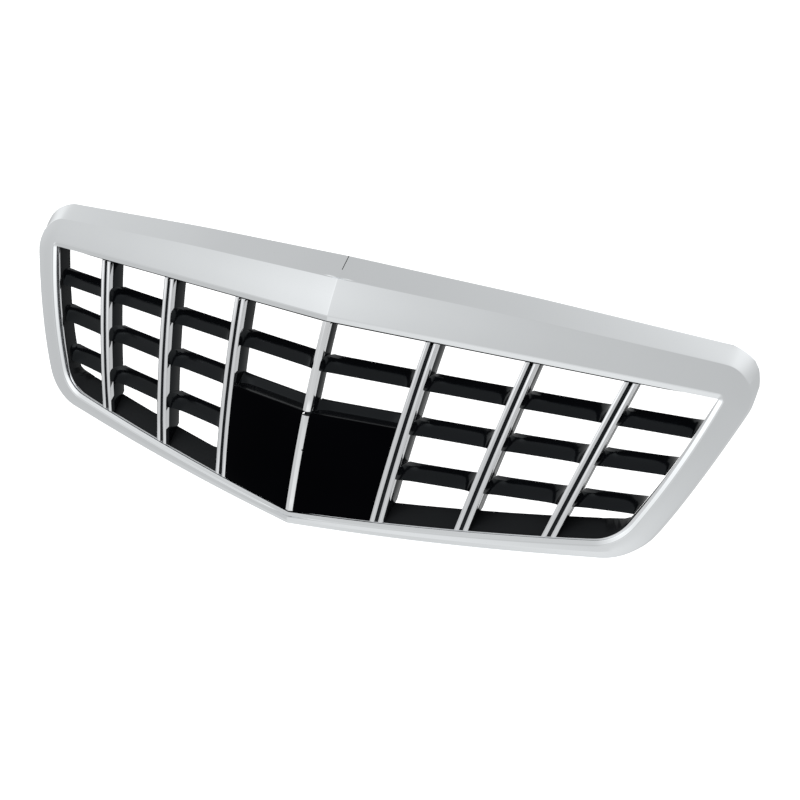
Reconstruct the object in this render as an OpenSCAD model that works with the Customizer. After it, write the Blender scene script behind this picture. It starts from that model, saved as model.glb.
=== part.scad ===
// Front grille of a large saloon car.
// X runs across the car, Y points back into the car and Z points up. Lengths are in millimetres.
// The shapes are drawn in opening coordinates: x = 0 on the centre plane, z = 0 near the bottom of
// the opening on that plane, y = 0 at the front there. at_datum() then moves everything so that the
// origin is the middle of the row of upper mounting holes, on the tabs' seat.

/* [Front surface] */
// Sweep-back of each half from the centre plane, in degrees
prow_angle = 8; // [7:0.5:9]
// Lean-back of the front at the bottom of the opening, in degrees
rake_angle = 8.6; // [7:0.2:10]
// Radius of the front's upright curve
bow_r = 886; // [800:2:1200]

/* [Opening] */
// Half-width of the opening's straight top edge
opening_half_w = 404; // [402:1:408]
// Height of the surround's inner edge on the centre plane
opening_top = 209; // [208:0.5:211]
// Radius of the opening's upper corners
top_corner_r = 6; // [6:0.5:8]
// Radius of the curved side
side_r = 747; // [740:1:755]
// Radius of the opening's lower corners
low_corner_r = 52; // [50:1:56]
// Radius of the bottom edge
bottom_r = 3500; // [3450:10:3550]

/* [Surround] */
// Wall thickness of the bright surround
shell_t = 2.5; // [2:0.1:2.6]
// Height of the surround's face on the centre plane, at the top
top_band = 38; // [36:0.5:40]
// Height of the surround's face on the centre plane, at the bottom
bottom_band = 8; // [7.5:0.5:9]
// Depth of the surround from its front to its back edge, at the top
surround_depth = 48; // [46:1:50]
// Thickness of the carrier frame's wall and flange
carrier_t = 3; // [2.6:0.1:3.2]

/* [Bars] */
// Distance of the first bar from the centre plane at z = 0
bar_1_x = 95.9; // [94:0.1:98]
// Distance of the second bar from the centre plane at z = 0
bar_2_x = 182.3; // [180:0.1:185]
// Distance of the third bar from the centre plane at z = 0
bar_3_x = 265; // [262:0.1:268]
// Height below z = 0 where the splayed bars would meet
fan_r = 945; // [920:5:980]
// Width of a bar across both bright strips
bar_w = 14; // [13:0.5:15]
// Width of the black channel between the two strips
channel_w = 3.8; // [3.2:0.2:4]
// Depth of a bright strip, front to back
strip_depth = 7; // [6:0.5:8]
// Depth of a bar, from its front to the back of its rib
bar_depth = 27; // [25:0.5:29]
// Width of the bright centre trim
centre_w = 9.4; // [8.4:0.2:10.4]

/* [Louvres] */
// Height of a louvre, from its front lower edge to its back upper edge
louvre_h = 15; // [14:0.5:16]
// Distance from the bars' front to a louvre's front lower edge
louvre_set_back = 16; // [15:0.5:17]
// Length over which a louvre flares forward into a bar
flare_r = 18; // [14:1:22]

/* [Cover panels] */
// Height of the panels' top edge on the centre plane
panel_top = 109.4; // [108:0.2:111]
// Thickness of a panel
panel_t = 4; // [3:0.5:4]
// Depth of the ledge above a panel
ledge_depth = 22; // [20:0.5:24]

/* [Mounting] */
// Height of the upper tabs' seat above the bottom of the opening
tab_seat_z = 224; // [223:0.5:225]
// Distance of the row of mounting holes behind the front datum
tab_hole_y = 186; // [184:1:192]
// Distance between neighbouring mounting holes
tab_pitch = 220; // [216:1:222]
// Diameter of the mounting holes
tab_hole_d = 7; // [6:0.1:8]
// Diameter of the two locating pins
pin_d = 8; // [6:0.5:9]
// Distance of each locating pin from the centre plane
pin_x = 220; // [212:1:228]

/* [Hidden] */
$fn = 48;
SIDES = [-1, 1];
BARS = [1, 2, 3];
SIDE_NAME = ["left", "", "right"];
ROW_NAME = ["upper", "middle", "lower"];
LENGTH_NAME = ["top", "end", "bottom"];

function name_of(word, s, i) = str(word, "_", SIDE_NAME[s+1], "_", i);
function rows_in(column) = column == 0 ? 1 : 3;

// ---- Front surface --------------------------------------------------------------------------

// Distance of the front surface behind the datum, at a place seen from the front.
function front_y(x, z) = abs(x)*tan(prow_angle) + z*tan(rake_angle) + z*z/(2*bow_r);
// A point d behind the front surface.
function at(x, z, d) = [x, front_y(x, z) + d, z];

// ---- Outline of the opening -----------------------------------------------------------------
// It is walked clockwise on the right half: the straight top, the upper corner, the curved side,
// the lower corner and the bottom. A station is [x, z, outward x, outward z, stretch], where
// stretch runs from 0 to 5, one unit for each of the five lengths.

TOP_FALL = 0.7;                     // fall of the top edge towards the corners, in degrees
TURN = [106, 10.8, 52.5];           // turn of the upper corner, the side and the lower corner
CORNER = [opening_half_w, opening_top - opening_half_w*tan(TOP_FALL)];
HEAD = [-TOP_FALL, -TOP_FALL-TURN[0], -TOP_FALL-TURN[0]-TURN[1],
        -TOP_FALL-TURN[0]-TURN[1]-TURN[2]];

// The point reached from p after an arc of radius r that starts with a heading and turns right.
function arc_to(p, r, heading, turn) =
    p + r*[sin(heading) - sin(heading-turn), cos(heading-turn) - cos(heading)];
function arc_centre(p, r, heading) = p + r*[sin(heading), -cos(heading)];
function arc_stations(p, r, heading, turn, steps, stretch) =
    [for (k = [1:steps]) let (t = turn*k/steps, q = arc_to(p, r, heading, t))
        [q[0], q[1], -sin(heading-t), cos(heading-t), stretch + k/steps]];

SIDE_START = arc_to(CORNER, top_corner_r, HEAD[0], TURN[0]);
SIDE_END = arc_to(SIDE_START, side_r, HEAD[1], TURN[1]);
BOTTOM_START = arc_to(SIDE_END, low_corner_r, HEAD[2], TURN[2]);
BOTTOM_SLOPE = HEAD[3] + 180;
BOTTOM_TURN = BOTTOM_SLOPE + asin(BOTTOM_START[0]/bottom_r - sin(BOTTOM_SLOPE));
SIDE_CENTRE = arc_centre(SIDE_START, side_r, HEAD[1]);
BOTTOM_CENTRE = arc_centre(BOTTOM_START, bottom_r, HEAD[3]);

TOP_STEPS = 8;
HALF = concat(
    [[0, opening_top, 0, 1, 0]],
    [for (k = [1:TOP_STEPS]) let (f = k/TOP_STEPS)
        [CORNER[0]*f, opening_top + (CORNER[1]-opening_top)*f, sin(TOP_FALL), cos(TOP_FALL), f]],
    arc_stations(CORNER, top_corner_r, HEAD[0], TURN[0], 10, 1),
    arc_stations(SIDE_START, side_r, HEAD[1], TURN[1], 8, 2),
    arc_stations(SIDE_END, low_corner_r, HEAD[2], TURN[2], 7, 3),
    arc_stations(BOTTOM_START, bottom_r, HEAD[3], BOTTOM_TURN, 7, 4));
HALF_END = len(HALF) - 1;
BOTTOM_STATION = [0, HALF[HALF_END][1], 0, -1, 5];
// All the way round: the right half, then the left half backwards.
RING = concat(
    [for (k = [0:HALF_END-1]) HALF[k]], [BOTTOM_STATION],
    [for (k = [HALF_END-1:-1:1]) [-HALF[k][0], HALF[k][1], -HALF[k][2], HALF[k][3], HALF[k][4]]]);

// A point of a ring-shaped part: n outward from the opening's edge and d behind the front.
function ring_point(q, n, d) = at(q[0] + q[2]*n, q[1] + q[3]*n, d);

// Height of the opening's top and bottom edges, and the place of its side, on the right half.
function top_edge(x) = opening_top - abs(x)*tan(TOP_FALL);
function bottom_edge(x) = BOTTOM_CENTRE[1] - sqrt(bottom_r*bottom_r - pow(abs(x)-BOTTOM_CENTRE[0], 2));
function side_x(z, inset) = SIDE_CENTRE[0] + sqrt(pow(side_r-inset, 2) - pow(z-SIDE_CENTRE[1], 2));

// ---- Sections of the ring-shaped parts, by stretch --------------------------------------------

function band(s) = lookup(s, [[0, top_band], [0.5, top_band-3.5], [1, top_band-10.5],
    [2, 24], [2.2, 22], [2.5, 20.5], [3, 19.5], [4, 12], [5, bottom_band]]);
function bevel(s) = lookup(s, [[0, 20], [1, 15], [1.35, 12.5], [1.6, 6.5], [1.75, 2.5], [2, 2],
    [3, 2], [4, 1.5], [5, 1.5]]);
function bevel_depth(s) = lookup(s, [[0, 16], [1, 15], [1.5, 12], [2, 10], [3, 9], [4, 8], [5, 7]]);
function crease_depth(s) = lookup(s, [[0, 3], [1, 2.2], [2, 1.9], [3, 1.5], [4, 1], [5, 2.6]]);
function lip(s) = lookup(s, [[0, 5.3], [1, 5.2], [2, 4.8], [3, 4], [5, 4.5]]);
function lip_depth(s) = lookup(s, [[0, 2.8], [1, 2.6], [2, 2.2], [4, 2.2], [5, 1.5]]);
function skirt_taper(s) = lookup(s, [[0, 16], [1, 14], [2, 9], [3, 8], [4, 6], [5, 6]]);
function back_depth(s) = lookup(s, [[0, surround_depth], [1, surround_depth-2], [1.6, 38],
    [2, 36], [3, 35], [4, 33], [5, 32]]);
function trim_reach(s) = lookup(s, [[0, 0], [1.3, 0.2], [2, 0.9], [2.15, 2.2], [3, 2.8], [4, 0.4],
    [5, 0]]);
function wall_front(s) = lookup(s, [[0, 8], [0.85, 7.6], [1, 5.6], [2, 5.6], [2.15, 6.5], [3, 8],
    [3.4, 8], [4, 3.5], [5, 3.5]]);
function wall_back(s) = lookup(s, [[0, 8], [0.85, 7.6], [1, 5.6], [2, 5.6], [2.15, 6.5], [3, 8],
    [3.15, 8.4], [3.29, 11.2], [3.43, 14.5], [3.57, 16.8], [3.71, 18.3], [4, 19.5], [5, 19.5]]);
function wall_depth(s) = lookup(s, [[0, 34], [1, 30], [2, 26.5], [3, 25.5], [4, 24.6], [5, 24.6]]);

function surround_section(s) = let (w = band(s), e = w + bevel(s), b = bevel_depth(s),
        c = crease_depth(s), i = lip(s), j = lip_depth(s), r = e - skirt_taper(s), t = shell_t)
    [[-i, j], [-0.5, 0.9], [0.7, 0], [w/2, c/2 - 0.8], [w - 0.6, c - 0.3], [w + 0.3, c + 0.4],
     [e, b], [r, back_depth(s)], [r - t, back_depth(s)], [e - 1.2*t, b + 0.6*t],
     [w - t, c + t], [0.8*t, 1.1*t], [1 - i, j + t]];

function trim_section(s) = let (i = lip(s), j = lip_depth(s), a = i + trim_reach(s))
    [[-a, j + 3], [3 - i, j + 3.2], [3 - i, j + 5], [-a, j + 5]];

// Reach of the carrier's flange outward from the opening's edge.
function flange_reach(s) = band(s) + bevel(s) - skirt_taper(s) - shell_t - 0.9;
function carrier_section(s) = let (a = wall_front(s), b = wall_back(s), f = lip_depth(s) + 5.3,
        g = wall_depth(s), h = back_depth(s) - 3, t = carrier_t, o = flange_reach(s))
    [[t - a, f], [0.2 + t - b, g - 0.5], [9.5 - b, h - t], [o, h - t], [o, h], [6 - b, h],
     [-b, g], [-a, f]];

// ---- Solids from rows of points --------------------------------------------------------------

// Joins equal loops of points into one solid. A closed solid joins its last loop to its first. An
// open one is capped: with a fan of triangles from the loop's point number hub, or with a strip
// across it where the loop goes up one side of a thin wall and down the other.
module skin(loops, closed = false, hub = 0, flip = false, strip = false) {
    n = len(loops[0]);
    rows = len(loops) - (closed ? 0 : 1);
    function index(i, j) = (i % len(loops))*n + j % n;
    walls = [for (i = [0:rows-1], j = [0:n-1], half = [0, 1])
        half == 0 ? [index(i, j), index(i, j+1), index(i+1, j)]
                  : [index(i+1, j), index(i, j+1), index(i+1, j+1)]];
    cap = [for (k = [1:n-2]) !strip ? [hub, hub + k, hub + k + 1] :
        k % 2 == 1 ? [(k-1)/2, (k+1)/2, n - (k+1)/2] : [k/2, n - k/2 - 1, n - k/2]];
    caps = closed ? [] : [for (t = cap, end = [0, 1]) let (a = t[0], b = t[1], c = t[2])
        end == 0 ? [index(0, a), index(0, c), index(0, b)]
                 : [index(rows, a), index(rows, b), index(rows, c)]];
    faces = concat(walls, caps);
    polyhedron([for (l = loops, p = l) p],
        [for (f = faces) flip ? [f[2], f[1], f[0]] : f], convexity = 8);
}

// Moves opening coordinates so that the middle of the row of mounting holes is the origin.
module at_datum() { translate([0, -tab_hole_y, -tab_seat_z]) children(); }
// Makes the left or the right copy of something drawn on the right.
module on_side(s) { at_datum() mirror([s < 0 ? 1 : 0, 0, 0]) children(); }

// ---- Surround, trim ring and carrier ---------------------------------------------------------

module ring_part(sections) {
    at_datum() skin([for (k = [0:len(RING)-1]) [for (p = sections[k]) ring_point(RING[k], p[0], p[1])]],
        closed = true);
}

module chrome_surround() {
    color("gainsboro") ring_part([for (q = RING) surround_section(q[4])]);
}

module inner_trim_ring() {
    color("silver") ring_part([for (q = RING) trim_section(q[4])]);
}

STUD_X = [55, 165, 275, 370];
STUD_N = 8;                         // height of the studs above the opening's edge
STUD_D = 4;

// Depth of the carrier's flange at its back, at the top and at the bottom of the opening.
function top_flange(x) = back_depth(x/opening_half_w) - 3;
function bottom_flange(x) = back_depth(5 - x/BOTTOM_START[0]) - 3;

// Places something on the back of the top flange, n above the opening's edge, with its own Z
// square to the flange.
module on_flange(x, n = STUD_N) {
    z = top_edge(x) + n;
    across = tan(prow_angle);
    up = tan(rake_angle) + z/bow_r;
    translate([x, front_y(x, z) + top_flange(x), z])
        rotate([0, acos(-up/norm([across, 1, up])), atan2(1, -across)]) children();
}

// A block that starts 0.4 mm behind a flange and ends at a flat back: [x, x], [z, z], and the
// distance of the back behind the datum.
module block(x, z, flange, back) {
    corners = [for (i = [0, 1], j = [0, 1]) [x[i], z[j]]];
    points = concat([for (c = corners) at(c[0], c[1], flange + 0.4)],
                    [for (c = corners) [c[0], back, c[1]]]);
    polyhedron(points, [[0, 1, 3], [0, 3, 2], [4, 7, 5], [4, 6, 7], [0, 2, 6], [0, 6, 4],
        [1, 5, 7], [1, 7, 3], [0, 4, 5], [0, 5, 1], [2, 3, 7], [2, 7, 6]]);
}

// Stations between which the carrier's three lengths run on each side. Each length is a solid of
// its own, and neighbours share an end face.
LENGTH_STATION = [0, TOP_STEPS, TOP_STEPS + 25, HALF_END];
module carrier(s, length) {
    color("#1a1b1d") difference() {
        on_side(s) skin([for (k = [LENGTH_STATION[length]:LENGTH_STATION[length+1]])
            [for (p = carrier_section(RING[k][4])) ring_point(RING[k], p[0], p[1])]], strip = true);
        if (length == 0) for (x = STUD_X)
            on_side(s) on_flange(x) cylinder(d = STUD_D + 0.6, h = 14, center = true, $fn = 24);
    }
}

// ---- Bars ------------------------------------------------------------------------------------

BAR_X = [0, bar_1_x, bar_2_x, bar_3_x];
function bar_x(i, z) = BAR_X[i]*(1 + z/fan_r);
function bar_head(i) = top_edge(bar_x(i, opening_top));
SHELF_SLOPE = 0.97;

// A rail up bar i, from a height above the opening's bottom edge to a gap below its top edge.
// The section is a loop of [across, depth] points; its foot climbs the shelf by a slope.
RAIL_STEPS = 7;
function rail(i, section, foot, gap, slope = 0) =
    [for (k = [0:RAIL_STEPS]) [for (p = section) let (
            low = bottom_edge(bar_x(i, bottom_edge(BAR_X[i]) + 15) + p[0]) + foot
                + slope*min(max(p[1] - 6.8, 0), 17.8),
            z = low + (bar_head(i) - gap - low)*k/RAIL_STEPS)
        at(bar_x(i, z) + p[0], z, p[1])]];

module rib(s, i) {
    w = bar_w/2 - 0.2;
    c = channel_w/2 - 0.1;
    f = strip_depth + 0.1;
    shape = [[c, f], [c, 3], [-c, 3], [-c, f], [-w, f], [-w, bar_depth], [w, bar_depth], [w, f]];
    color("#141517") on_side(s)
        skin(rail(i, shape, 5.6, 9, SHELF_SLOPE));
}

module strip(s, i, side) {
    a = side*channel_w/2;
    b = side*bar_w/2;
    shape = [[a, strip_depth], [a, 1.1], [a + side*0.3, 0.8], [(a + b)/2, 0], [b - side*0.3, 0.8],
             [b, 1.1], [b, strip_depth]];
    color("gainsboro") on_side(s)
        skin(rail(i, shape, 6.3, 5.9), flip = side > 0);
}

module centre_post() {
    w = centre_w/2 - 0.2;
    shape = [[-w, 7.7], [-w, 23], [w, 23], [w, 7.7]];
    color("#141517") at_datum()
        skin(rail(0, shape, 5.6, 9, SHELF_SLOPE));
}

module centre_trim(foot, gap) {
    w = centre_w/2;
    shape = [[w, 2.4], [w - 0.6, 1.9], [0, 1.2], [0.6 - w, 1.9], [-w, 2.4], [-w, 7.2], [w, 7.2]];
    color("gainsboro") at_datum() skin(rail(0, shape, foot, gap));
}
module centre_trim_upper() { centre_trim(panel_top + 1.2 - bottom_edge(0), 5.9); }
module centre_trim_lower() { centre_trim(6, opening_top - panel_top + 3); }

// ---- Louvres ---------------------------------------------------------------------------------

// For each row: height on the centre plane, straight rise and curved rise towards the side.
ROWS = [[149, 1.5, 4], [102.5, 1, 13.5], [52.5, 9, 15]];
RISE_X = 400;                       // distance from the centre plane where both rises are full
function row_z(r, x) = ROWS[r][0] + ROWS[r][1]*x/RISE_X + ROWS[r][2]*pow(x/RISE_X, 2);

// The blade's section in the middle of a column and where it meets a bar, as [depth, height].
function blade() = let (a = louvre_set_back, h = louvre_h)
    [[a, 0], [a + 2.6, 0.31*h], [a + 6, 0.6*h], [a + 10, 0.83*h], [a + 15, h], [a + 17, 0.9*h],
     [a + 17, 0.53*h], [a + 8, 0.1*h]];
function blade_end(front, lift) = let (h = louvre_h)
    [[front, lift*h], [front, (lift + 0.3)*h], [front, 1.13*h], [front + 10, 1.27*h], [31, 1.03*h],
     [33, 0.9*h], [33, 0.53*h], [18, 0.13*h]];

// Ends of column c at height z: the bar's side face, or the carrier's wall for the last column.
function column_start(c, z) = bar_x(c, z) + (c == 0 ? centre_w : bar_w)/2 + 0.1;
function column_end(c, z) = c < 3 ? bar_x(c + 1, z) - bar_w/2 - 0.1 :
    let (s = 2 + (SIDE_START[1] - z)/(SIDE_START[1] - SIDE_END[1]))
    side_x(z, max(wall_back(s), lip(s) + trim_reach(s)) + 0.5);
function flare(t) = let (u = max(0, 1 - t/flare_r)) 1 - sqrt(1 - u*u);
FLARE_STEPS = [0, 0.08, 0.22, 0.42, 0.68, 1];

function louvre_loop(c, r, t, from_start) = let (
        amount = flare(t), last = c == 3 && !from_start,
        end = last ? blade_end(11, 0.1) : blade_end(0.3, 0.32),
        middle = blade(), z0 = row_z(r, from_start ? column_start(c, 100) : column_end(c, 100)))
    [for (k = [0:len(middle)-1]) let (
            p = middle[k] + (end[k] - middle[k])*amount,
            x0 = from_start ? column_start(c, z0) + t : column_end(c, z0) - t,
            z = row_z(r, x0) + p[1],
            x = from_start ? column_start(c, z) + t : column_end(c, z) - t)
        at(x, z, p[0])];

module louvre(s, c, r) {
    loops = concat(
        [for (u = FLARE_STEPS) louvre_loop(c, r, u*flare_r, true)],
        [for (k = [len(FLARE_STEPS)-1:-1:0]) louvre_loop(c, r, FLARE_STEPS[k]*flare_r, false)]);
    color("#101113") on_side(s) skin(loops, hub = 6);
}

// ---- Cover panels and their ledges -----------------------------------------------------------

PANEL_RISE = 9.2;
function panel_z(x) = panel_top + PANEL_RISE*x/RISE_X;

// One level of a panel: a loop through both sides, at a share v of its height.
function panel_loop(v, front) = [for (p = [[0, 1 + panel_t], [1, 1 + panel_t], [1, front], [0, front]])
    let (x0 = p[0] == 0 ? column_start(0, 60) : column_end(0, 60),
         low = bottom_edge(x0) + 5.4, z = low + (panel_z(x0) - low)*v,
         x = p[0] == 0 ? column_start(0, z) : column_end(0, z))
    at(x, z, p[1])];

module sensor_cover(s) {
    color("#050507") on_side(s) skin(concat([panel_loop(0, 1.8)],
        [for (k = [0:7]) panel_loop(0.01 + 0.975*k/7, 1)], [panel_loop(1, 2.2)]));
}

module cover_ledge(s) {
    d = ledge_depth;
    middle = [[panel_t + 1.3, -2.6], [panel_t + 1.3, -0.2], [d - 1, 0], [d, 8.8], [d + 1, 9.6],
              [d + 3, 9.6], [d + 3.5, 8.5], [d + 3.5, -2.6]];
    end = [[panel_t + 1.3, -2.6], [panel_t + 1.3, -0.2], [d - 10, 0], [d - 2, 10], [d + 1, 10.4],
           [d + 3, 10.4], [d + 3.5, 9], [d + 3.5, -2.6]];
    function loop(t, from_start) = let (amount = flare(t))
        [for (k = [0:7]) let (p = middle[k] + (end[k] - middle[k])*amount,
                z = panel_z(from_start ? t : 90 - t) + p[1],
                x = from_start ? column_start(0, z) + t : column_end(0, z) - t)
            at(x, z, p[0])];
    color("#101113") on_side(s) skin(concat(
        [for (u = FLARE_STEPS) loop(u*flare_r, true)],
        [for (k = [len(FLARE_STEPS)-1:-1:0]) loop(FLARE_STEPS[k]*flare_r, false)]), hub = 7);
}

// ---- Fixings on the back ---------------------------------------------------------------------

TAB_W = 36;
TAB_T = 3;
SEAT_D = 24;                        // diameter and height of the round seat on a tab
SEAT_H = 1;
WEB = [14, 20];                     // height and depth of the webs under a tab

// A flat tab behind the top flange, with an upright hole, a rounded end and webs underneath.
module mounting_tab(x) {
    top = tab_seat_z - SEAT_H;
    flange = top_flange(x);
    base_y = front_y(x, top - WEB[0]) + flange;
    difference() {
        union() {
            block([x - TAB_W/2, x + TAB_W/2], [top - TAB_T, top], flange, tab_hole_y);
            translate([x, tab_hole_y, top - TAB_T]) {
                cylinder(d = TAB_W, h = TAB_T);
                cylinder(d = SEAT_D, h = TAB_T + SEAT_H);
            }
            for (web = [x - TAB_W/2, x + TAB_W/2 - TAB_T])
                block([web, web + TAB_T], [top - WEB[0], top], flange, base_y + WEB[1]);
        }
        translate([x, tab_hole_y, top - TAB_T - 1]) cylinder(d = tab_hole_d, h = TAB_T + 4);
    }
}
module mounting_tabs() {
    color("#1a1b1d") for (s = SIDES, k = [0.5, 1.5]) on_side(s) mounting_tab(k*tab_pitch);
}

PIN_L = 16;                         // lengths of a pin: straight part, tip, collar and pad
PIN_TIP = 2;
PIN_COLLAR = 7;
PIN_PAD = 6;
PIN_N = 12;                         // height of the pins above the opening's edge
// A pin that points straight back from a collar, on a round pad that lies on the flange.
module locating_pins() {
    z = top_edge(pin_x) + PIN_N;
    color("#1a1b1d") for (s = SIDES) on_side(s) {
        on_flange(pin_x, PIN_N) translate([0, 0, 0.4]) cylinder(d = pin_d + 10, h = PIN_PAD);
        translate([pin_x, front_y(pin_x, z) + top_flange(pin_x) + 3.6, z]) rotate([-90, 0, 0]) {
            cylinder(d = pin_d + 4, h = PIN_COLLAR);
            translate([0, 0, PIN_COLLAR]) cylinder(d = pin_d, h = PIN_L);
            translate([0, 0, PIN_COLLAR + PIN_L]) cylinder(d1 = pin_d, d2 = pin_d - 3, h = PIN_TIP);
        }
    }
}

module surround_studs() {
    color("silver") for (s = SIDES, x = STUD_X) on_side(s) on_flange(x)
        translate([0, 0, -34]) cylinder(d = STUD_D, h = 41, $fn = 24);
}

module stud_nuts() {
    color("darkgray") for (s = SIDES, x = STUD_X) on_side(s) on_flange(x)
        translate([0, 0, 0.4]) difference() {
            union() {
                cylinder(d = 12, h = 1, $fn = 24);
                cylinder(d = 8.1, h = 4.2, $fn = 6);
            }
            translate([0, 0, -1]) cylinder(d = STUD_D + 0.1, h = 7, $fn = 24);
        }
}

HOOK_X = 140;
HOOK_W = 24;
// A hook under the bottom flange that drops behind the edge of the bumper cover.
module lower_hook(s) {
    z = bottom_edge(HOOK_X) + 4;
    y = front_y(HOOK_X, z) + bottom_flange(HOOK_X) + 18;
    across = [HOOK_X - HOOK_W/2, HOOK_X + HOOK_W/2];
    color("#1a1b1d") on_side(s) {
        block(across, [z, z + 3], bottom_flange(HOOK_X), y);
        translate([across[0], y - 3, z - 12]) cube([HOOK_W, 3, 12.5]);
        block(across, [z - 2, z + 8], bottom_flange(HOOK_X), y - 12);
    }
}

module upper_foam_seal() {
    section = [[-0.5, 0.15], [-0.5, 4], [-1.5, 6], [-4.5, 6], [-5.5, 4], [-5.5, 0.15]];
    right = [for (k = [0:TOP_STEPS-1]) HALF[k]];
    spine = concat([for (k = [TOP_STEPS-1:-1:1])
        [-right[k][0], right[k][1], -right[k][2], right[k][3], right[k][4]]], right);
    color("#202020") at_datum() skin([for (q = spine) [for (p = section)
        ring_point(q, flange_reach(q[4]) + p[0], p[1] + back_depth(q[4]) - 3)]]);
}

// ---- Output ----------------------------------------------------------------------------------

chrome_surround();
inner_trim_ring();
centre_post();
centre_trim_upper();
centre_trim_lower();
for (s = SIDES, k = [0:2])
    carrier(s, k);
for (s = SIDES, i = BARS) {
    rib(s, i);
    strip(s, i, -1);
    strip(s, i, 1);
}
for (s = SIDES, c = [0:3], r = [0:rows_in(c)-1])
    louvre(s, c, r);
for (s = SIDES) {
    sensor_cover(s);
    cover_ledge(s);
    lower_hook(s);
}
mounting_tabs();
locating_pins();
surround_studs();
stud_nuts();
upper_foam_seal();
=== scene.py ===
# %% [markdown]
# # A car's front grille
# The grille is an assembly: a bright plated surround, a thin bright trim ring inside it, a black
# carrier frame behind them, six splayed double bars, a centre trim in two lengths, black louvres,
# and two smooth cover panels over the lower centre. The frame holds the measured solids. This
# script gives them soft edges, plating and plastic, and adds a studio and a camera.

# %% Load the measured model
import math
import bpy
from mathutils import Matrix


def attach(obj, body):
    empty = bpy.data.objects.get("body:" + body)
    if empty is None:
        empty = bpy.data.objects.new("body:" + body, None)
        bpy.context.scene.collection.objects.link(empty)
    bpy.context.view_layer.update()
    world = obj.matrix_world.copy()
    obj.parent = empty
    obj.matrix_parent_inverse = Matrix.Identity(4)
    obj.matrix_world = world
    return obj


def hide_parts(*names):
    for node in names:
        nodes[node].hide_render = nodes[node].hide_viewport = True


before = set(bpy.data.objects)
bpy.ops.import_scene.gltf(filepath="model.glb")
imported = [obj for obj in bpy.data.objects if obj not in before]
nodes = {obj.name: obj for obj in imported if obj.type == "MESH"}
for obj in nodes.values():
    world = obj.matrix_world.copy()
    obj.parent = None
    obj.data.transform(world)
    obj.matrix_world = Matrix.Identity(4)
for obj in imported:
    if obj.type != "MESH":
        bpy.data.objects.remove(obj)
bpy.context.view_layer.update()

# %% [markdown]
# ## Helpers
# A grille is drawn in millimetres and Blender counts in metres, so `mm` turns one into the other.
# Operators act on all that is selected, and loading leaves the measured nodes selected, so
# `pick` clears the selection before it picks one object.

# %% Millimetres and picking
MM = 0.001


def mm(*values):
    """Turns millimetres into a tuple of metres."""
    return tuple(v * MM for v in values)


def pick(obj):
    """Selects one object alone and makes it the active one."""
    if bpy.context.object and bpy.context.object.mode != "OBJECT":
        bpy.ops.object.mode_set(mode="OBJECT")
    bpy.ops.object.select_all(action="DESELECT")
    obj.select_set(True)
    bpy.context.view_layer.objects.active = obj


# %% [markdown]
# ## Camera
# The grille is seen from above and from its right-hand end, and rolled a little, from about
# 1.4 m away. A camera could be aimed by tracking a target, but that leaves no room for a roll,
# so it is turned by three angles: tipped up from looking straight down, rolled, and turned about
# Z. It is made first, so that every later choice can be looked at through it.

# %% Camera
CAMERA_PLACE = mm(588.2, -1248.6, 366.2)
CAMERA_TURN = (69.610, -5.329, 25.832)    # tip, roll and turn, in degrees
SENSOR_MM = 36
LENS_PER_SENSOR = 1.5625         # focal length as a share of the sensor's width

bpy.ops.object.camera_add(location=CAMERA_PLACE)
camera = bpy.context.object
camera.name = "view_camera"
camera.rotation_euler = [math.radians(angle) for angle in CAMERA_TURN]
camera.data.sensor_width = SENSOR_MM
camera.data.lens = LENS_PER_SENSOR * SENSOR_MM
camera.data.clip_start = 0.05
camera.data.clip_end = 50
bpy.context.scene.camera = camera
print("lens", camera.data.lens, "mm,", round(camera.location.length, 2), "m from the origin")

# %% [markdown]
# ## Shader maths
# A shader is a graph of nodes, and a graph written node by node is long and hard to read. One
# small class wraps a socket, so that `1 - mask * 0.3` adds the Math nodes that it needs.

# %% A wrapper for sockets
def wire(tree, socket, value):
    """Links a wrapped socket to an input, or sets the input to a plain value."""
    if isinstance(value, Socket):
        tree.links.new(value.out, socket)
    else:
        socket.default_value = value


class Socket:
    """An output that a Python expression can use as if it were a number."""

    def __init__(self, tree, out):
        self.tree = tree
        self.out = out

    def math(self, operation, *operands):
        node = self.tree.nodes.new("ShaderNodeMath")
        node.operation = operation
        for index, value in enumerate(operands):
            wire(self.tree, node.inputs[index], value)
        return Socket(self.tree, node.outputs[0])

    def __add__(self, other):
        return self.math("ADD", self, other)

    def __radd__(self, other):
        return self.math("ADD", other, self)

    def __sub__(self, other):
        return self.math("SUBTRACT", self, other)

    def __rsub__(self, other):
        return self.math("SUBTRACT", other, self)

    def __mul__(self, other):
        return self.math("MULTIPLY", self, other)

    def __rmul__(self, other):
        return self.math("MULTIPLY", other, self)

    def exp(self):
        return self.math("EXPONENT", self)

    def within(self, low, high):
        """1 where the value lies between two limits, and 0 elsewhere."""
        return self.math("GREATER_THAN", self, low) * self.math("LESS_THAN", self, high)


print("a wrapped socket takes +, - and *, and has exp and within")

# %% [markdown]
# Every other node comes from one method, `node`, which takes a node's type, the output that is
# wanted, its settings, and the values or links of its sockets. A graph has a place to read: on
# a piece it is the point on the grille in metres, and in the world it is the direction looked in.

# %% Graphs and materials
def set_stops(elements, stops):
    """Gives a colour ramp's elements their (place, colour) stops."""
    for element, (place, colour) in zip(elements, stops):
        element.position = place
        element.color = (*colour, 1)


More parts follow.
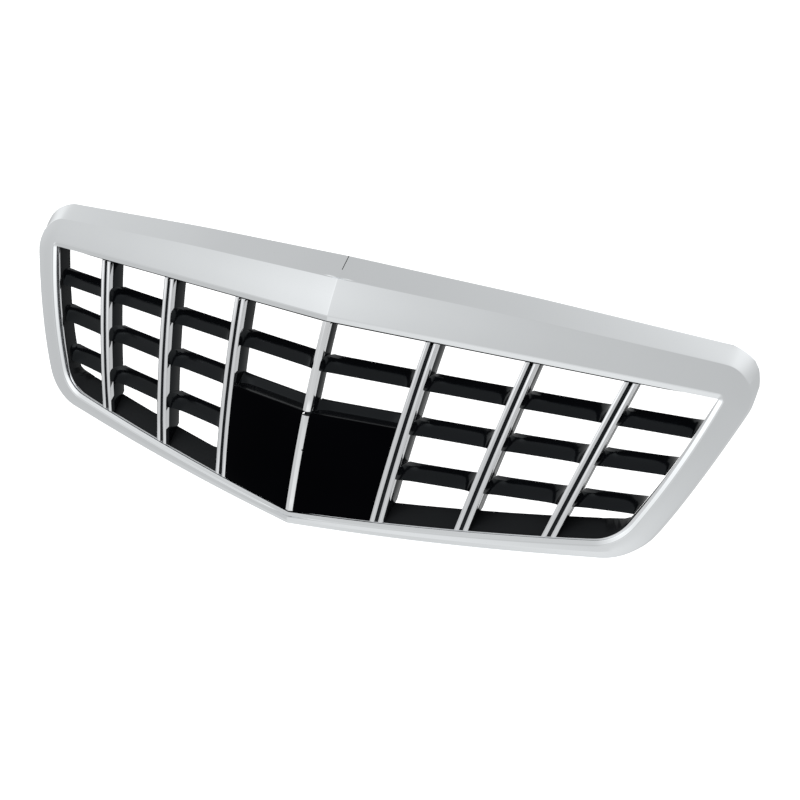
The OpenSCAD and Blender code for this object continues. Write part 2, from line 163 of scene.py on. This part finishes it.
class Graph:
    """A node tree under construction, of a material or of the world."""

    def __init__(self, tree, place):
        self.tree = tree
        self.place = self.node("TexCoord", place)

    def node(self, kind, output, settings=None, numbered=(), **named):
        """Adds a node: settings first, then sockets by number, then sockets by name."""
        node = self.tree.nodes.new("ShaderNode" + kind)
        for key, value in (settings or {}).items():
            if key == "stops":
                set_stops(node.color_ramp.elements, value)
            else:
                setattr(node, key, value)
        for index, value in enumerate(numbered):
            wire(self.tree, node.inputs[index], value)
        for key, value in named.items():
            wire(self.tree, node.inputs[key.replace("_", " ")], value)
        return Socket(self.tree, node.outputs[output])

    def ramp(self, factor, *stops):
        """Turns a number into a colour between two (place, colour) stops."""
        return self.node("ValToRGB", "Color", {"stops": stops}, Fac=factor)

    def noise(self, per_metre, detail=2, stretch=(1, 1, 1)):
        """Soft noise with about so many blotches to a metre."""
        where = self.node("Mapping", "Vector", Vector=self.place, Scale=stretch)
        return self.node("TexNoise", "Fac", Vector=where, Scale=per_metre, Detail=detail)

    def axis(self, letter):
        return self.node("SeparateXYZ", letter, Vector=self.place)


class Finish(Graph):
    """A material under construction. In socket names, _ stands for a space."""

    def __init__(self, name, **values):
        self.material = bpy.data.materials.new(name)
        self.material.use_nodes = True
        super().__init__(self.material.node_tree, "Object")
        self.set(**values)

    def set(self, **values):
        """Sets or links sockets of the Principled shader."""
        for key, value in values.items():
            socket = self.tree.nodes["Principled BSDF"].inputs[key.replace("_", " ")]
            wire(self.tree, socket, value)

    def bump(self, height, strength, depth_mm):
        self.set(Normal=self.node("Bump", "Normal", Height=height, Strength=strength,
                                  Distance=depth_mm * MM))


def shaded(colour, share):
    """A colour made darker or lighter by a factor."""
    return [c * share for c in colour]


print("half of a pale grey:", shaded((0.8, 0.8, 0.8), 0.5))

# %% [markdown]
# ## Plating
# The surround, strips and trims are plastic plated with bright chrome: a mirror with almost no
# colour. One flat metal would look drawn, because real plating isn't perfect. So its roughness
# wanders a little, and the moulding under it gives a very shallow wave, the orange peel that
# makes reflections swim. The narrow slot at the top of the prow and the nick beside the centre
# trim are not in the solids, so the shade inside them is painted: the colour is darkened over
# each one's span in X and Z.

# %% Bright chrome
HAZE_SHADE = 0.975               # how far the colour sinks in a hazy blotch
# Painted shade: inside a gap's span the plating's colour is darkened by this share.
GAP_SHADE_DEPTH = 0.97                 # how much of the colour a gap takes away
PEEL_DEPTH = 0.2                 # height of the orange peel, in millimetres


def chrome(name, colour, roughness, peel, gap=None):
    finish = Finish(name, Metallic=1.0)
    haze = finish.noise(per_metre=9, detail=3)
    smears = finish.noise(per_metre=60, detail=4, stretch=(1, 1, 0.25))
    plate = finish.ramp(haze, (0.3, shaded(colour, HAZE_SHADE)), (0.7, colour))
    # Painted shade: within a gap's span in X and Z, the plating's colour is darkened where shade
    # would fall in the slot.
    if gap:
        across, upright = gap
        gap_shade = finish.axis("X").within(*mm(*across)) * finish.axis("Z").within(*mm(*upright))
        plate = finish.node("VectorMath", "Vector", {"operation": "SCALE"}, Vector=plate,
                            Scale=1 - gap_shade * GAP_SHADE_DEPTH)
    finish.set(Base_Color=plate, Roughness=roughness + haze * 0.02 + smears * 0.01)
    finish.bump(finish.noise(per_metre=35, detail=1), peel, PEEL_DEPTH)
    return finish.material


# Spans where shade is painted into the plating: the slot at the top of the prow and the nick
# beside the centre trim.
PROW_SLOT_SHADE = ((-0.45, 0.45), (30.5, 60))      # millimetres in X, then in Z
TRIM_NICK_SHADE = ((3.2, 6), (-154.2, -152.6))
surround_chrome = chrome("surround_chrome", (0.885, 0.90, 0.915), roughness=0.02, peel=0.008,
                         gap=PROW_SLOT_SHADE)
strip_chrome = chrome("strip_chrome", (0.88, 0.885, 0.90), roughness=0.02, peel=0.01)
centre_chrome = chrome("centre_chrome", (0.96, 0.965, 0.975), roughness=0.02, peel=0.01,
                       gap=TRIM_NICK_SHADE)
ring_chrome = chrome("ring_chrome", (0.86, 0.865, 0.88), roughness=0.04, peel=0.02)
print("plated:", [m.name for m in bpy.data.materials if m.name.endswith("chrome")])

# %% [markdown]
# ## Black plastics
# Three blacks differ by finish. The carrier is dull, as it leaves the mould. The louvres and
# ribs have a smoother, half-gloss skin, and the cover panels are smooth and so deep a black that
# they hardly reflect. All three come from one function, because they are one plastic: a dark
# colour that clouds slowly, and a fine grain that moves the roughness and the surface together.

# %% Black plastics
SHINE_TINT = (0.87, 0.95, 1, 1)  # gloss on black plastic looks faintly blue
GRAIN_DEPTH = 0.05               # height of the moulded grain, in millimetres


def black_plastic(name, colour, roughness, grain, grain_mm, shine):
    finish = Finish(name, IOR=1.5, Specular_IOR_Level=shine, Specular_Tint=SHINE_TINT)
    cloud = finish.noise(per_metre=14, detail=3)
    fine = finish.noise(per_metre=1 / (grain_mm * MM))
    clouded = finish.ramp(cloud, (0.25, shaded(colour, 0.8)), (0.75, shaded(colour, 1.25)))
    finish.set(Base_Color=clouded, Roughness=roughness + cloud * 0.05 + fine * 0.03)
    finish.bump(fine, grain, GRAIN_DEPTH)
    return finish.material


carrier_black = black_plastic("carrier_black", (0.008, 0.008, 0.009), roughness=0.40,
                              grain=0.2, grain_mm=0.9, shine=0.2)
lattice_black = black_plastic("lattice_black", (0.0042, 0.0046, 0.006), roughness=0.12,
                              grain=0.03, grain_mm=0.7, shine=0.23)
piano_black = black_plastic("piano_black", (0.0009, 0.0009, 0.0016), roughness=0.08,
                            grain=0.01, grain_mm=3.0, shine=0.012)
print("black:", [m.name for m in bpy.data.materials if m.name.endswith("black")])

# %% [markdown]
# ## Zinc and foam
# The last finishes are on the back. Studs and nuts are zinc-plated steel, whose colour drifts
# towards yellow between its crystals, so one noise drives colour, roughness and bump. The upper
# seal is open-cell foam, and a Voronoi texture gives its cells.

# %% Zinc and foam
zinc = Finish("zinc_plate", Metallic=1.0)
spangle = zinc.noise(per_metre=160, detail=3)
zinc.set(Base_Color=zinc.ramp(spangle, (0.3, (0.46, 0.45, 0.41)), (0.7, (0.63, 0.63, 0.61))),
         Roughness=0.30 + spangle * 0.2)
zinc.bump(spangle, strength=0.15, depth_mm=0.1)

foam = Finish("seal_foam", Roughness=0.95)
cells = foam.node("TexVoronoi", "Distance", Vector=foam.place, Scale=700)
foam.set(Base_Color=foam.ramp(cells, (0.1, (0.012, 0.012, 0.013)), (0.6, (0.045, 0.045, 0.048))))
foam.bump(cells, strength=0.8, depth_mm=0.6)
print(len(bpy.data.materials), "materials")

# %% [markdown]
# ## Soft edges
# A measured node is loose triangles with knife-sharp edges. A moulded part has a small radius on
# every edge, and that radius is what catches the light. A bump could fake it, but the outline
# would stay sharp. So each piece starts as a copy of its node, whose triangles are merged. They
# are then joined into quads where the surface is curved, or into flat faces where it isn't.

# %% A copy of a node
MERGE_GAP = 0.02 * MM
QUAD_BEND = math.radians(50)     # how far two triangles may fold and still make a quad
QUAD_SKEW = math.radians(120)    # how far its corners may be from square
FLAT = math.radians(0.3)


def copy_of(node_names, piece_name):
    """Copies one or more nodes into one piece and leaves it in edit mode, all selected."""
    copies = []
    for name in node_names:
        copy = bpy.data.objects.new(piece_name, nodes[name].data.copy())
        bpy.context.scene.collection.objects.link(copy)
        copy.data.materials.clear()
        copies.append(copy)
    pick(copies[0])
    for copy in copies:
        copy.select_set(True)
    if len(copies) > 1:
        bpy.ops.object.join()
    bpy.ops.object.mode_set(mode="EDIT")
    bpy.ops.mesh.select_all(action="SELECT")
    bpy.ops.mesh.remove_doubles(threshold=MERGE_GAP)
    bpy.ops.mesh.customdata_custom_splitnormals_clear()
    return copies[0]


def drop_inner_faces():
    """Deletes the faces where joined lengths meet, so that they become one closed shape."""
    bpy.ops.mesh.select_all(action="DESELECT")
    bpy.ops.mesh.select_interior_faces()
    bpy.ops.mesh.delete(type="FACE")
    bpy.ops.mesh.select_all(action="SELECT")


def join_triangles(quads):
    """Joins the selected triangles into quads, or dissolves them into flat faces."""
    if quads:
        bpy.ops.mesh.tris_convert_to_quads(face_threshold=QUAD_BEND, shape_threshold=QUAD_SKEW)
    else:
        bpy.ops.mesh.dissolve_limited(angle_limit=FLAT)


print("smallest gap that a copy keeps:", MERGE_GAP, "m")

# %% [markdown]
# The folds are found by their angle and bevelled. On a curved piece a Subdivision Surface then
# rounds what lies between them, and the bevel's close edges hold the folds where they were.

# %% Bevels and rounding
SMOOTH = math.radians(40)        # folds up to this angle are shaded smooth
made = []


def bevel_folds(fold, radius, segments):
    """Bevels each edge that folds by more than an angle in degrees, radius in millimetres."""
    bpy.ops.mesh.select_all(action="DESELECT")
    bpy.ops.mesh.select_mode(type="EDGE")
    bpy.ops.mesh.edges_select_sharp(sharpness=math.radians(fold))
    bpy.ops.mesh.bevel(offset=radius * MM, segments=segments, profile=0.5, affect="EDGES",
                       clamp_overlap=True)


def subdivide(piece, levels):
    rounding = piece.modifiers.new("rounding", "SUBSURF")
    rounding.levels = levels
    rounding.render_levels = levels
    bpy.ops.object.modifier_apply(modifier=rounding.name)


def soften(node_names, material, fold, radius, segments=2, levels=0, quads=False, name=None):
    """Makes the visible piece for a list of measured nodes, with soft folds and its finish."""
    piece = copy_of(node_names, name or node_names[0] + "_skin")
    if len(node_names) > 1:
        drop_inner_faces()
    join_triangles(quads)
    bevel_folds(fold, radius, segments)
    bpy.ops.object.mode_set(mode="OBJECT")
    if levels:
        subdivide(piece, levels)
    bpy.ops.object.shade_smooth_by_angle(angle=SMOOTH)
    piece.data.materials.append(material)
    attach(piece, "root")
    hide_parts(*node_names)
    made.append(piece)
    return piece


print("folds under", round(math.degrees(SMOOTH)), "degrees are shaded smooth")

# %% [markdown]
# ## Surround and trim ring
# The surround is one broad, gently curved moulding whose halves meet in a crisp prow line, with
# a crease round its face. Modelled by hand it would be a swept outline, but its measured solid
# has every section already. Quads carry its curve, a narrow bevel keeps the prow and the crease,
# and two levels of subdivision round the corners between the sections. The trim ring lies
# inside the surround's lip and is made in the same way.

# %% Surround and trim ring
surround = soften(["chrome_surround"], surround_chrome, fold=12, radius=0.4,
                  levels=2, quads=True)
trim_ring = soften(["inner_trim_ring"], ring_chrome, fold=30, radius=0.3,
                   levels=1, quads=True)
for piece in (surround, trim_ring):
    print(piece.name, len(piece.data.polygons), "faces")

# %% [markdown]
# ## Bars and centre
# Each bar is a black rib with two bright strips on its front and a dark channel between them.
# On the centre plane a black post carries one wider bright trim, in two lengths. They are
# straight mouldings with flat sides, so subdivision would only blur them: their triangles are
# dissolved into flat faces and every fold gets a small bevel.

# %% Ribs, strips and the centre
SIDES = ("left", "right")
BARS = (1, 2, 3)
for side in SIDES:
    for number in BARS:
        soften([f"rib_{side}_{number}"], lattice_black, fold=30, radius=0.5)
        for edge in ("inner", "outer"):
            soften([f"{edge}_strip_{side}_{number}"], strip_chrome, fold=25,
                   radius=0.3)
soften(["centre_post"], lattice_black, fold=30, radius=0.5)
for part in ("upper", "lower"):
    soften([f"centre_trim_{part}"], centre_chrome, fold=12, radius=0.25)
print(len(made), "pieces with the bars and the centre")

# %% [markdown]
# ## Louvres, ledges and covers
# A louvre is a curved black blade that flares forward into the ribs at both ends, and a ledge
# is the same moulding on top of a cover panel. Their flares are measured in steps, and two
# levels of subdivision turn the steps into one sweep. A cover panel is flat and smooth, with a
# larger radius of three segments on its edges, as such a polished moulding has.

# %% Louvres, ledges and covers
for name in sorted(nodes):
    if "louvre" in name or "ledge" in name:
        soften([name], lattice_black, fold=28, radius=0.6, levels=2, quads=True)
    elif name.startswith("sensor_cover"):
        soften([name], piano_black, fold=25, radius=1.2, segments=3)
print(sum("louvre" in piece.name for piece in made), "louvres")

# %% [markdown]
# ## The back
# From the front the carrier frame shows only as a dark edge and as the shelf under the lowest
# windows, and the fixings don't show. The frame is measured in six lengths that meet face to
# face. A real one would be a single moulding, so the lengths are joined into one piece. Tabs,
# pins, hooks, studs and nuts are right as measured and get small bevels.

# %% Carrier and fixings
lengths = [f"carrier_{part}_{side}" for part in ("top", "end", "bottom") for side in SIDES]
soften(lengths, carrier_black, fold=30, radius=0.4, segments=1,
       name="carrier_frame")
for name in ("mounting_tabs", "locating_pins", "lower_hook_left", "lower_hook_right"):
    soften([name], carrier_black, fold=40, radius=0.4)
for name in ("surround_studs", "stud_nuts"):
    soften([name], zinc.material, fold=40, radius=0.15, segments=1)
soften(["upper_foam_seal"], foam.material, fold=30, radius=1.0)
print(len(made), "pieces,", sum(len(piece.data.polygons) for piece in made), "faces")

# %% [markdown]
# A piece now stands for every measured node. The hidden nodes get the carrier's black too, so
# that nothing in the file is left without a finish.

# %% A finish for the measured nodes
for node in nodes.values():
    node.data.materials.clear()
    node.data.materials.append(carrier_black)
print(len(nodes), "measured nodes are", carrier_black.name)

# %% [markdown]
# ## Studio
# Plating shows what is around it, so the room matters more than any lamp. It could be built from
# lamps and cards, but each would show a hard edge in the chrome. So the room is the world: an
# even pale grey with four soft panels and a wide glow from the floor, each with a direction, a
# strength and a tightness. Away from its direction a panel fades exponentially.

# %% The room
ROOM_GREY = 0.57
ROOM_TINT = (0.985, 0.998, 1.0, 1)
PANELS = [                       # compass turn and height in degrees, strength, tightness
    (-33, 29, 0.66, 24),
    (146, 63, 1.65, 15),
    (2, -16, 0.27, 15),
    (-93, 20, 0.52, 18),
    (0, -90, 0.30, 3),
]


def direction(turn, height):
    """A unit vector from degrees: a turn of 0 looks out of the front, and 90 to the right."""
    turn = math.radians(turn)
    height = math.radians(height)
    level = math.cos(height)
    return (math.sin(turn) * level, -math.cos(turn) * level, math.sin(height))


world = bpy.data.worlds.new("studio")
bpy.context.scene.world = world
world.use_nodes = True
room = Graph(world.node_tree, "Generated")
light = ROOM_GREY
for turn, height, strength, tightness in PANELS:
    facing = room.node("VectorMath", "Value", {"operation": "DOT_PRODUCT"},
                       (room.place, direction(turn, height)))
    light = light + ((facing - 1) * tightness).exp() * strength
background = room.tree.nodes["Background"].inputs
wire(room.tree, background["Strength"], light)
wire(room.tree, background["Color"], ROOM_TINT)
print(len(PANELS), "soft panels,", len(room.tree.nodes), "nodes in the room")

# %% [markdown]
# ## Floor and back wall
# The floor is a sheet of white paper well below the grille, with another upright far behind it.
# They glow a little, as a lit paper sweep does. Reflections and bounced light pass them by, so
# that the room alone shapes the plating.

# %% Floor and back wall
FLOOR_Z = -520 * MM
WALL_Y = 20
SHEET_SIZE = 60
PAPER_GLOW = 0.62
paper = Finish("paper", Base_Color=(0.9, 0.9, 0.9, 1), Specular_IOR_Level=0.0,
               Emission_Color=(1, 1, 1, 1), Emission_Strength=PAPER_GLOW)
paper.set(Roughness=0.85 + paper.noise(per_metre=2) * 0.1)
SHEETS = {"studio_floor": ((0, 0, FLOOR_Z), 0), "studio_wall": ((0, WALL_Y, 0), math.pi / 2)}
for name, (place, tilt) in SHEETS.items():
    bpy.ops.mesh.primitive_plane_add(size=SHEET_SIZE, location=place, rotation=(tilt, 0, 0))
    sheet = bpy.context.object
    sheet.name = name
    sheet.data.materials.append(paper.material)
    sheet.visible_glossy = False
    sheet.visible_diffuse = False
bpy.context.scene.view_settings.view_transform = "Standard"
